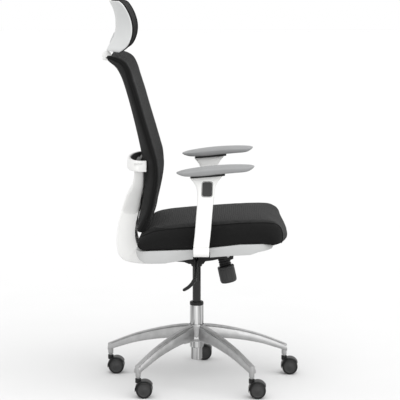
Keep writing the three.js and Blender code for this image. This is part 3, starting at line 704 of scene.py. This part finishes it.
def knob():
    """A cap with shallow flutes, a rounded end and a plain band at its top."""
    profile = [(0, -83), (14, -83), (16, -82.4), (21.5, -82.4), (24.6, -81.2), (26.6, -78.4), (27.4, -75)]
    profile += [(27.9, z) for z in range(-72, -38, 4)]
    profile += [(27.9, -36), (27.2, -34.6), (28, -33.4), (28, -28.4), (26.6, -26.4), (24, -25.9), (0, -25.9)]
    bm = turned(profile, 160)
    for v in bm.verts:
        z = v.co.z / MM
        depth = 0.85 * smooth(-80, -74, z) * smooth(-35, -39, z)
        if depth > 0:
            angle = math.atan2(v.co.y, v.co.x)
            fluted = 1 - depth * (0.5 - 0.5 * math.cos(20 * angle)) ** 1.5 / 28
            v.co.x *= fluted
            v.co.y *= fluted
    return bm


def lever():
    piece("ferrule", node_copy("lever_ferrule", 0.7), "lever_ferrule", BLACK, ["lever_ferrule"])
    line = [(-50, -2, 421), (-72, -2, 421), (-108, -2, 419), (-150, -2, 410), (-192, -1, 395), (-228, 1, 380)]
    rod = swept(sampled(line, 40), circle(4, 20))
    spine = sampled([(-6, 381), (2, 378), (12, 364), (25, 352.5), (39.5, 345)], 26)
    rings = []
    for i, at in enumerate(spine):
        along = i / 25
        ahead = (spine[min(i + 1, 25)] - spine[max(i - 1, 0)]).normalized()
        across = Vector((-ahead.y, ahead.x))
        ends = math.sqrt(clamp(1 - (2 * along - 1) ** 8, 0.03, 1))
        thick = mix(7.6, 4.4, along**0.7) * ends
        wide = mix(11.5, 12.3, smooth(0, 0.6, along)) * ends
        shape = [(wide * side, thick * up) for side, up in oval(24, 0.6, 0.75)]
        rings.append([(-229.5 + side, at.x + across.x * up, at.y + across.y * up) for side, up in shape])
    piece("lift_lever_arm", merged(rod, skin(rings)), "lever", BLACK, ["lift_lever"])


def under_seat():
    piece("bracket_to_back", node_copy("recline_bracket", 0.9), "back", BLACK_STEEL, ["recline_bracket"])
    piece("carriage", node_copy("seat_carriage", 0.8), "seat", BLACK_STEEL, ["seat_carriage"])


# ---------------------------------------------------------------- seat
def pan():
    """The moulded pan keeps the CAD pan's shape, with soft edges."""
    piece("pan", node_copy("seat_pan", 4.5, 30, 4), "seat", PAN, ["seat_pan"], 40)


SEAT_MIDDLE = [
    (191, 486), (184, 505), (164, 524), (142, 538), (97, 550), (40, 556), (-20, 561), (-80, 565.5),
    (-144, 569), (-192, 570), (-221, 568), (-246, 561), (-268, 545.5), (-284, 527), (-298, 511),
    (-305, 498.5), (-301, 489), (-286, 484.5),
]
SEAT_SIDE = [
    (191, 486), (186, 503), (168, 519.5), (140, 536), (97, 545), (40, 551), (-20, 556), (-80, 560.5),
    (-144, 564.5), (-200, 566.5), (-240, 566), (-262, 560), (-276, 547), (-282, 531), (-284, 515),
    (-282, 501), (-276, 492), (-264, 487.5),
]
SEAT_UNDER = [
    (-258, 492.5), (-214, 498), (-144, 496), (-61, 487), (2, 479), (95, 476), (180, 473),
]
SHOULDER = 202
BELT = 40


def seat_solid():
    """The cushion before it is filled: a side profile drawn across, with a crown and round shoulders."""
    half = box("seat_cushion")[1].x - 3
    middle_line, side_line = sampled(SEAT_MIDDLE, 60), sampled(SEAT_SIDE, 60)
    rings = []
    stations = 48
    for i in range(stations + 1):
        x = half * math.sin((i / stations - 0.5) * math.pi)
        toward_side = clamp(abs(x) / 212) ** 2.4
        edge = clamp((abs(x) - SHOULDER) / (half - SHOULDER))
        drop = BELT * (1 - math.sqrt(1 - edge * edge * 0.995))
        corner = clamp((abs(x) - half + 40) / 40) ** 2 * 22
        ring = []
        upper = [a.lerp(b, toward_side) for a, b in zip(middle_line, side_line)]
        for p in [Vector(p) for p in SEAT_UNDER] + upper:
            top = smooth(490, 545, p.y)
            front = smooth(-205, -285, p.x)
            rear = smooth(150, 190, p.x)
            ring.append((x, p.x + corner * front - corner * 0.2 * rear, p.y - drop * top))
        rings.append(ring)
    return skin(rings)


FILL_FRAMES = 20


def filled(obj, voxel, pressure, cap):
    """Swells a closed mesh as stuffed fabric: cloth under pressure, with a cap on each point's move."""
    if voxel:
        remesh = obj.modifiers.new("remesh", "REMESH")
        remesh.mode = "VOXEL"
        remesh.voxel_size = voxel * MM
        apply_modifiers(obj)
        relax(obj, 4, 0.5)
    start = [v.co.copy() for v in obj.data.vertices]
    cloth = obj.modifiers.new("cloth", "CLOTH")
    settings = cloth.settings
    settings.quality = 4
    settings.mass = 0.3
    settings.tension_stiffness = settings.compression_stiffness = 25
    settings.shear_stiffness = 15
    settings.bending_stiffness = 2
    settings.use_pressure = True
    settings.uniform_pressure_force = pressure
    settings.effector_weights.gravity = 0
    cloth.point_cache.frame_start, cloth.point_cache.frame_end = 1, FILL_FRAMES
    scene = bpy.context.scene
    for number in range(1, FILL_FRAMES + 1):
        scene.frame_set(number)
    graph = bpy.context.evaluated_depsgraph_get()
    swollen = obj.evaluated_get(graph).data
    places = [v.co.copy() for v in swollen.vertices]
    obj.modifiers.clear()
    scene.frame_set(1)
    for vertex, first, last in zip(obj.data.vertices, start, places):
        move = last - first
        if move.length > cap * MM:
            move *= cap * MM / move.length
        vertex.co = first + move
    return obj


def relax(obj, times, factor):
    axes = {"use_axis_x": True, "use_axis_y": True, "use_axis_z": True}
    bm = bmesh.new()
    bm.from_mesh(obj.data)
    for _ in range(times):
        bmesh.ops.smooth_vert(bm, verts=bm.verts, factor=factor, **axes)
    bm.to_mesh(obj.data)
    bm.free()


def finer(obj):
    obj.modifiers.new("finer", "SUBSURF").levels = 1
    apply_modifiers(obj)
    obj.data.shade_smooth()
    return obj


def settle(obj, body, materials, replaces):
    """Turns a finished soft mesh into a piece."""
    for one in materials:
        obj.data.materials.append(one)
    obj.data.shade_smooth()
    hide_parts(*replaces)
    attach(obj, body)
    return obj


def surface_of(obj):
    mesh = obj.data
    return BVHTree.FromPolygons([v.co for v in mesh.vertices], [p.vertices for p in mesh.polygons])


SEAM = [
    (172, 518), (150, 529), (123, 538), (60, 546.5), (-17, 552.5), (-90, 558.5), (-150, 563),
    (-205, 565), (-240, 564), (-260, 558.5), (-272, 548), (-278, 532), (-279, 514), (-276, 497),
]


SEAM_TURN = 545
SEAM_FORE = -240


def seam_points(surface, sign):
    """The seam between the top and the side band, found on the surface from the side."""
    points = []
    for y, z in sampled(SEAM, 90):
        origin = Vector((sign * 400, y, z - 1.5)) * MM
        hit, normal, _, _ = surface.ray_cast(origin, Vector((-sign, 0, 0)))
        if hit:
            points.append((hit / MM, normal))
    return points


def cushion():
    obj = filled(loose("cushion", seat_solid()), 6, 3.5, 5)
    seam = sampled(SEAM, 90)

    def seam_height(y):
        front = [p for p in seam if p.y > SEAM_TURN]
        if y < front[-1].x:
            return math.inf
        return min(front, key=lambda p: abs(p.x - y)).y

    groove(obj)
    finer(obj)
    surface = surface_of(obj)
    settle(obj, "seat", [MESH, WEAVE], ["seat_cushion"])
    front = min(p.x for p in seam)
    for face in obj.data.polygons:
        at = face.center / MM
        below = at.z < seam_height(max(at.y, SEAM_FORE)) - 1
        side = abs(at.x) > SHOULDER - 14 and below and at.y > seam_front(at.z, front)
        face.material_index = 1 if side or at.z < 484 else 0
    for name, sign in SIDES:
        path = [p + n * 0.6 for p, n in seam_points(surface, sign)]
        piece(f"welt_{name}", swept(path, circle(1.7, 10)), "seat", WEAVE, ["seat_cushion"])


def seam_front(z, front):
    """Where the side band ends ahead, at a height."""
    if z > 548:
        return mix(SEAM_FORE, -272, clamp((564 - z) / 16))
    return mix(-272, front, clamp((548 - z) / 20))


def groove(obj):
    """Pulls the surface in a little along the two seams, so that the welt sits in a valley."""
    seam = sampled(SEAM, 60)
    for vertex in obj.data.vertices:
        at = vertex.co / MM
        if abs(at.x) < SHOULDER - 30:
            continue
        near = min((Vector((at.y, at.z)) - p).length for p in seam)
        pull = 1.8 * math.exp(-((near / 6) ** 2))
        vertex.co.x -= math.copysign(pull * MM, at.x)
        vertex.co.z -= pull * 0.5 * MM


# ---------------------------------------------------------------- back
BACK_FRONT = [
    (155, 528), (141, 562), (127, 620), (114, 690), (114, 750), (124, 788), (141, 846), (159, 905),
    (177, 965), (193, 1014), (203, 1047), (219, 1076), (248, 1091), (283, 1094),
]
BACK_REAR = [
    (194, 529), (185, 566), (176, 622), (171, 690), (176, 750), (183, 790), (195, 846), (209, 905),
    (225, 965), (240, 1012), (254, 1039), (264, 1051), (275, 1061), (287, 1071),
]
back_front, back_rear = curve(BACK_FRONT), curve(BACK_REAR)
BACK_THICK = 24


def back_point(across, up, depth):
    """A point of the back: depth 0 on the rear face, 1 on the front face."""
    front, rear = back_front(up), back_rear(up)
    to_front = front - rear
    reach = to_front.length
    thick = mix(reach * 0.97, min(BACK_THICK, reach * 0.55), smooth(0, 0.15, up))
    level = (reach - thick) * across * across + thick * depth
    point = rear + to_front.normalized() * level
    half = (box("back_mesh")[1].x - 0.4) * (1 - 0.04 * (1 - up) ** 6 - 0.08 * up**8)
    return Vector((across * half, point.x, point.y))


def rim_path(width, height, corner, count):
    """Evenly spaced points of [across, up] round a rectangle with round corners."""
    w, h = width / 2, height / 2
    outline = rounded([(-w, -h), (w, -h), (w, h), (-w, h)], corner, 12)
    outline.append(outline[0])
    lengths = [0.0]
    for a, b in zip(outline, outline[1:]):
        lengths.append(lengths[-1] + (b - a).length)
    points, i = [], 0
    for k in range(count):
        want = lengths[-1] * k / count
        while lengths[i + 1] < want:
            i += 1
        share = (want - lengths[i]) / max(lengths[i + 1] - lengths[i], 1e-9)
        p = outline[i].lerp(outline[i + 1], share)
        points.append((p.x / w, 0.5 + p.y / height))
    return points


def back():
    def place(across, up, depth):
        rim = 1 - (1 - abs(across) ** 24) * (1 - abs(2 * up - 1) ** 60)
        inner = 0.5 + (depth - 0.5) * (1 - 0.4 * rim)
        return back_point(across * 0.995, mix(-0.006, 0.998, up), inner)

    obj = filled(loose("back_pad", two_sheets(60, 104, place)), 0, 3.0, 3)
    finer(obj)
    settle(obj, "back", [BACK_MESH, WEAVE], ["back_mesh"])
    paint_back(obj)
    welt = [back_point(a * 0.994, clamp(u, 0.002, 0.996), 0.42) for a, u in rim_path(406, 600, 26, 240)]
    welt.append(welt[0])
    piece("back_welt", swept(welt, circle(1.5, 10), caps=False), "back", WEAVE, ["back_mesh"])


def paint_back(obj):
    """The side band and the rear face take the plain weave; the front face is mesh."""
    samples = [(i / 120, back_front(i / 120), back_rear(i / 120)) for i in range(121)]
    for face in obj.data.polygons:
        at = face.center / MM
        nearest = min(samples, key=lambda s: ((s[1] + s[2]) / 2 - Vector((at.y, at.z))).length)
        forward = (nearest[1] - nearest[2]).normalized()
        facing = face.normal.y * forward.x + face.normal.z * forward.y
        face.material_index = 0 if facing > 0.25 else 1


SPINE_SECTION = [(-1, 0.6), (-0.96, 2.6), (-0.8, 3.6), (0, 4.0), (0.8, 3.6), (0.96, 2.6), (1, 0.6), (0, 0.5)]


def spine():
    """A slim white strip down the rear of the back, with rounded edges."""
    rings = []
    for j in range(49):
        up = mix(0.385, 0.96, j / 48)
        narrow = math.sqrt(clamp(1 - (2 * j / 48 - 1) ** 12, 0.05, 1))
        ring = []
        for across, out in SPINE_SECTION:
            inner = back_point(across * 31 * narrow / 203, up, 0)
            behind = back_point(across * 31 * narrow / 203, up, -1)
            ring.append(inner + (behind - inner).normalized() * out)
        rings.append(ring)
    piece("spine", skin(rings), "back", WHITE, ["back_spine"], 50)


# ---------------------------------------------------------------- back support
CHANNEL_OUTER = [
    (97, 402.2), (130, 401.4), (162, 401.2), (198, 403.2), (231, 410.4), (251, 425), (260, 448),
    (262.6, 478), (259.8, 514), (252.6, 551), (241, 591), (228.5, 631),
]
CHANNEL_INNER = [
    (97, 423.2), (130, 423.2), (154, 424.2), (171, 436.6), (188, 456.6), (197.6, 482), (199.6, 512),
    (195.5, 543), (189, 570), (183, 598), (180.2, 616), (178.4, 631),
]


def channel():
    """The L-shaped channel, open behind: a rounded front web with two side flanges."""
    outer, inner = sampled(CHANNEL_OUTER, 60), sampled(CHANNEL_INNER, 60)
    rings = []
    for out, front in zip(outer, inner):
        reach = out - front
        wall = min(12.0, reach.length * 0.42)
        depth = reach.normalized()
        deep = reach.length
        half = [
            (52, 0), (57.5, 0.8), (60, 3), (60, deep - 5), (58.6, deep - 1.6), (55, deep), (48, deep),
            (45.4, deep - 1.6), (44.4, deep - 5), (44, wall + 5), (42, wall + 1.2), (38, wall),
        ]
        section = mirrored(half)
        rings.append([(x, *(front + depth * d)) for x, d in section])
    return skin(rings)


FORK_FRONT = [
    (196, 542), (189, 572), (182.5, 601), (178, 629), (172, 656), (169, 686), (167.5, 716), (167, 745),
]
FORK_REAR = [
    (252.5, 549), (246, 577), (238.5, 601), (228.2, 631), (212.5, 657), (202, 689), (198.5, 717), (198, 745),
]
LOOP_HALF = 151
LOOP_DEEP = 42.5
LOOP_MIDDLE = (0, 180, 735.5)


def fork_arm(sign):
    """One arm of the fork, from the channel's flange out and up to the loop."""

    def across(along):
        return sign * mix(46, 148, clamp((along - 0.1) / 0.9) ** 1.2), mix(13.8, 11.8, along)

    arm_body = tube_between(curve(FORK_FRONT), curve(FORK_REAR), across, 40, oval(24, 0.45, 0.6))
    tip = [(sign * (150.5 + a), b) for a, b in ((-6.6, 157.4), (6.6, 157.4), (6.6, 186), (-6.6, 186))]
    return merged(arm_body, prism(rounded(tip, 3), 717.4, 753.4, "z", 4, 4))


def strap_at(turn, section):
    """A section of [out, up] points at a part of a half turn, 0..1, round the loop's strap."""
    c, s = math.cos(math.pi * turn), math.sin(math.pi * turn)
    centre = Vector((LOOP_HALF * c, LOOP_DEEP * s, 0)) + Vector(LOOP_MIDDLE)
    outward = Vector((c / LOOP_HALF, s / LOOP_DEEP, 0)).normalized()
    return [centre + outward * out + Vector((0, 0, up)) for out, up in section]


def loop():
    """The rounded strap that joins the fork's arms behind the lumbar pad."""
    shape = [(6.3 * out, 18.2 * up) for out, up in oval(28, 0.7, 0.55)]
    section = [(out - 1.2 * math.sin(math.pi * up / 40), up) for out, up in shape]
    return skin([strap_at(i / 60, section) for i in range(61)])


def loop_liner():
    """The dark lining of the strap's inner face."""
    section = ((-7.4, -13), (-7.8, -11), (-7.8, 14.5), (-7.2, 16.4), (-5.4, 17), (-5, 14), (-5, -13))
    return skin([strap_at((i + 1) / 50, section) for i in range(49)])


def support():
    piece("loop_lining", loop_liner(), "back", BLACK, ["back_support"])
    arms = [fork_arm(sign) for _, sign in SIDES]
    piece("support", merged(channel(), *arms, loop()), "back", WHITE, ["back_support"], 50)
    low, high = box("lumbar_pad")
    centre = (low + high) / 2
    half, deep, tall = (high - low) / 2
    rings = []
    for scale, depth in ((0.9, -1), (0.97, -0.85), (1, -0.4), (1, 0.4), (0.97, 0.8), (0.9, 0.96), (0.6, 1)):
        shape = [(half * scale * x, deep * depth, tall * scale * z) for x, z in oval(56, 0.6, 0.6)]
        rings.append([centre + Vector(p) for p in shape])
    piece("lumbar", skin(rings), "lumbar", BLACK, ["lumbar_pad"])


# ---------------------------------------------------------------- headrest
HEAD_RIM = [
    (242.5, 1098), (218.5, 1118), (205.5, 1145), (201.5, 1172), (204.5, 1198), (214.5, 1226),
    (230.5, 1252), (244.5, 1263),
]
HEAD_REAR = [
    (297, 1102), (285, 1126), (273, 1148), (266, 1177), (266, 1206), (272, 1233), (281, 1253),
    (286, 1263),
]
head_rim, head_rear = curve(HEAD_RIM), curve(HEAD_REAR)


def head_point(across, up, ahead):
    """A point of the headrest; ahead is how far it stands before the shell's rear face."""
    rim, rear = head_rim(up), head_rear(up)
    to_rim = rim - rear
    reach = to_rim.length
    point = rear + to_rim.normalized() * ((reach - 7) * across * across + ahead)
    half = (box("headrest_shell")[1].x - 0.5) * (1 - 0.16 * abs(2 * up - 1) ** 5)
    return Vector((across * half, point.x, point.y))


def head_shell():
    """The shell: a thin dished sheet with a rolled rim and the slot for the post."""
    slot = 25.8 / (box("headrest_shell")[1].x - 0.5)

    def place(across, up, front):
        rim = max(abs(across) ** 14, abs(2 * up - 1) ** 18)
        return head_point(across, up, mix(mix(0.2, 6.6, front), 3.4, 0.45 * rim))

    def solid(across, up):
        return abs(across) > slot or up > 0.45

    return two_sheets(48, 40, place, solid)


def head_cushion():
    def place(across, up, front):
        thick = mix(22, 3.5, across * across) * (1 - 0.5 * abs(2 * up - 1) ** 6)
        rim = max(abs(across) ** 24, abs(2 * up - 1) ** 20)
        ahead = mix(4.5, 8.4, front) + thick * mix(front, 0.5, 0.4 * rim)
        return head_point(across * 0.992, mix(0.006, 0.994, up), ahead)

    return two_sheets(44, 36, place)


def headrest():
    piece("headrest_back", head_shell(), "headrest", SHELL, ["headrest_shell"], 40)
    obj = filled(loose("headrest_pad", head_cushion()), 0, 3.0, 2)
    finer(obj)
    settle(obj, "headrest", [BACK_MESH], ["headrest_cushion"])
    rim = [head_point(a * 0.988, mix(0.008, 0.992, u), 9.4) for a, u in rim_path(254, 190, 24, 200)]
    rim.append(rim[0])
    piece("headrest_piping", swept(rim, circle(1.9, 10), caps=False), "headrest", WEAVE, ["headrest_cushion"])
    piece("post", node_copy("headrest_post", 2.2, 20, 4), "back", WHITE, ["headrest_post"], 40)
    foot = rounded([(279, 1084), (288, 1076), (292, 1087), (289, 1093), (282, 1093)], 3)
    foot = prism(foot, -18, 18, "x", 2, 3)
    piece("post_foot", foot, "back", WHITE, ["headrest_post"], 40)
    piece("carrier", node_copy("headrest_carrier", 0.8), "headrest_carrier", SHELL, ["headrest_carrier"])


# ---------------------------------------------------------------- arms
def arm(side, sign):
    low, high = box(f"arm_sleeve_{side}")
    inner, outer = sorted((abs(low.x), abs(high.x)))
    bracket = node_copy(f"arm_bracket_{side}", 2.2, 20, 4)
    piece(f"bracket_{side}", bracket, "seat", WHITE, [f"arm_bracket_{side}"], 40)
    piece(f"post_{side}", node_copy(f"arm_post_{side}", 1.2), "seat", STEEL, [f"arm_post_{side}"])
    piece(f"sleeve_{side}", sleeve(sign, inner, outer), f"arm_{side}", WHITE, [f"arm_sleeve_{side}"], 45)
    frame_ring(side, sign, outer)
    button(side, sign)
    plate = node_copy(f"arm_plate_{side}", 1.4, 24, 3)
    piece(f"plate_{side}", plate, f"arm_{side}", BLACK, [f"arm_plate_{side}"])
    obj = loose(f"pad_{side}_soft", pad_solid(sign))
    settle(obj, f"pad_{side}", [PAD], [f"arm_pad_{side}"])


SLEEVE_REAR = [
    (4, 494.3), (-1, 540), (-5, 590), (-8.4, 635), (-8.8, 668), (-5.5, 686), (2, 700), (10, 709),
    (14.4, 715.4),
]
SLEEVE_FRONT = [
    (-46, 494.3), (-51, 540), (-55, 590), (-59, 635), (-62.6, 668), (-66.5, 688), (-74, 704),
    (-83, 715), (-89, 723.4),
]


def sleeve(sign, inner, outer):
    """The upright's shell: a rounded rectangular tube that flares out under the pad's plate."""
    centre, half = (inner + outer) / 2, (outer - inner) / 2 - 0.2
    rear, front = curve(SLEEVE_REAR), curve(SLEEVE_FRONT)
    return tube_between(front, rear, lambda along: (sign * centre, half), 56, oval(40, 0.32, 0.28))


def button_outline(low, high, grow, corner):
    """The leaning outline of the height button, [y, z], grown all round."""
    shape = [(low.y - grow, low.z - grow), (high.y + grow, low.z - grow)]
    shape += [(high.y + grow, high.z + grow), (low.y - grow, high.z + grow)]
    return rounded([(y - (z - low.z) * 0.04, z) for y, z in shape], corner, 8)


def frame_ring(side, sign, outer):
    """A slim dark surround, set in the sleeve, that the height button moves in."""
    low, high = box(f"arm_button_{side}")
    rings = []
    for grow, out in ((1.7, -1.6), (1.7, 0.15), (1.2, 0.35), (0.5, 0.1), (0.4, -1.6)):
        rings.append([(sign * (outer + out), *p) for p in button_outline(low, high, grow, 10)])
    rings.append(rings[0])
    bm = skin(rings, caps=False)
    bmesh.ops.remove_doubles(bm, verts=bm.verts, dist=1e-7)
    piece(f"button_surround_{side}", bm, f"arm_{side}", BUTTON, [f"arm_sleeve_{side}"])


def button(side, sign):
    """A pillowed key with a shallow step across its middle."""
    low, high = box(f"arm_button_{side}")
    outer = max(abs(low.x), abs(high.x))
    rings = []
    for grow, out in ((-0.1, -4.8), (-0.1, -0.9), (-0.9, -0.2), (-2.4, 0.0), (-6, -0.25), (-11, -0.5)):
        ring = []
        for p in button_outline(low, high, grow, 9 + grow * 0.4):
            off_middle = p.y - (low.z + high.z) / 2
            notch = 1.3 * math.exp(-((off_middle / 3) ** 2)) if out > -0.8 else 0
            ring.append((sign * (outer + out - notch), *p))
        rings.append(ring)
    piece(f"button_key_{side}", skin(rings), f"button_{side}", BUTTON, [f"arm_button_{side}"], 50)


PAD_TOP = [(57, 733.5), (30, 740.5), (-20, 749), (-70, 754.4), (-120, 756.8), (-165, 756.8), (-188, 755)]
PAD_UNDER = [(57, 729.5), (30, 722), (-20, 723), (-70, 728.4), (-120, 733.4), (-165, 738), (-188, 750)]
PAD_MIDDLE = 290
PAD_HALF = 41.8
POCKET_HALF = 30.6


def pad_solid(sign):
    """The arm pad: a long lens with a soft edge, a slight dish on top and a pocket for the plate."""
    top, under = curve(PAD_TOP), curve(PAD_UNDER)
    rings = []
    for i in range(65):
        along = 0.5 - 0.5 * math.cos(math.pi * i / 64)
        end = abs(2 * along - 1)
        half = PAD_HALF * math.sqrt(max(0.012, 1 - end**3.4))
        high, low = top(along), under(along)
        squeeze = math.sqrt(max(0.05, 1 - end**9))
        ring = []
        for k in range(48):
            a = 2 * math.pi * k / 48
            side = power(math.cos(a), 0.62)
            up = 0.5 + 0.5 * power(math.sin(a), 0.75 if k < 24 else 0.3) * squeeze
            dish = 1.4 * smooth(0.75, 0.0, abs(side)) * smooth(0.5, 1, up) * (1 - end**4)
            at = low + (high - low) * up
            ring.append((sign * PAD_MIDDLE + side * half, at.x, at.y - dish))
        rings.append(ring)
    body = loose("pad_body", skin(rings))
    near, far = sign * PAD_MIDDLE - POCKET_HALF, sign * PAD_MIDDLE + POCKET_HALF
    tool = loose("pad_pocket", prism([(near, -122), (far, -122), (far, 38), (near, 38)], 700, 730.4, "z", 0))
    cut = body.modifiers.new("pocket", "BOOLEAN")
    cut.operation, cut.object, cut.solver = "DIFFERENCE", tool, "EXACT"
    apply_modifiers(body)
    bm = bmesh.new()
    bm.from_mesh(body.data)
    for one in (body, tool):
        mesh = one.data
        bpy.data.objects.remove(one)
        bpy.data.meshes.remove(mesh)
    return bm


# ---------------------------------------------------------------- kept nodes, room and camera
def kept_nodes():
    """CAD nodes whose own shape is right take the finished material."""
    kept = {"thrust_bearing": STEEL, "piston_rod": STEEL, "rod_clip": STEEL}
    kept.update({f"caster_stem_{n}": STEEL for n in CASTERS})
    for node, material in kept.items():
        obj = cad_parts[node]
        if not obj.data.materials:
            obj.data.materials.append(material)
        for slot in obj.material_slots:
            slot.material = material


FLOOR_REACH = 30
FLOOR_DROP = 0.0005


def room():
    floor_material = Shading("floor", "floor")
    floor_material.colour(floor_material.noise(3, 2), grey(0.59), grey(0.61)).set(Roughness=0.9)
    mesh = bpy.data.meshes.new("floor")
    corners = [(-1, -1, 0), (1, -1, 0), (1, 1, 0), (-1, 1, 0)]
    mesh.from_pydata([Vector(p) * FLOOR_REACH for p in corners], [], [(0, 1, 2, 3)])
    mesh.materials.append(floor_material.material)
    floor = bpy.data.objects.new("floor", mesh)
    floor.location.z = -FLOOR_DROP
    bpy.context.scene.collection.objects.link(floor)


def light():
    world = bpy.data.worlds.new("studio")
    bpy.context.scene.world = world
    world.use_nodes = True
    background = world.node_tree.nodes["Background"]
    background.inputs["Color"].default_value = (1, 1, 1, 1)
    background.inputs["Strength"].default_value = 1.0
    data = bpy.data.lights.new("soft_key", "SUN")
    data.energy = 2.6
    data.angle = math.radians(85)
    obj = bpy.data.objects.new("soft_key", data)
    obj.rotation_euler = Vector((0.55, 0.25, -0.8)).to_track_quat("-Z", "Y").to_euler()
    bpy.context.scene.collection.objects.link(obj)


CAMERA_PLACE = (-5.818, -0.137, 1.388)
CAMERA_AHEAD = (0.99977, 0.02164, 0)
CAMERA_PITCH = math.radians(7.65)
CAMERA_LENS = 159.7


def camera():
    data = bpy.data.cameras.new("camera")
    data.sensor_width = 36
    data.lens = CAMERA_LENS
    data.clip_end = 100
    obj = bpy.data.objects.new("camera", data)
    obj.location = CAMERA_PLACE
    level = Vector(CAMERA_AHEAD).normalized() * math.cos(CAMERA_PITCH)
    heading = level - Vector((0, 0, math.sin(CAMERA_PITCH)))
    obj.rotation_euler = heading.to_track_quat("-Z", "Y").to_euler()
    bpy.context.scene.collection.objects.link(obj)
    bpy.context.scene.camera = obj
    bpy.context.scene.view_settings.view_transform = "Standard"


camera()
light()
room()
base()
casters()
column()
mechanism()
lever()
under_seat()
pan()
cushion()
back()
spine()
support()
headrest()
for side, sign in SIDES:
    arm(side, sign)
kept_nodes()
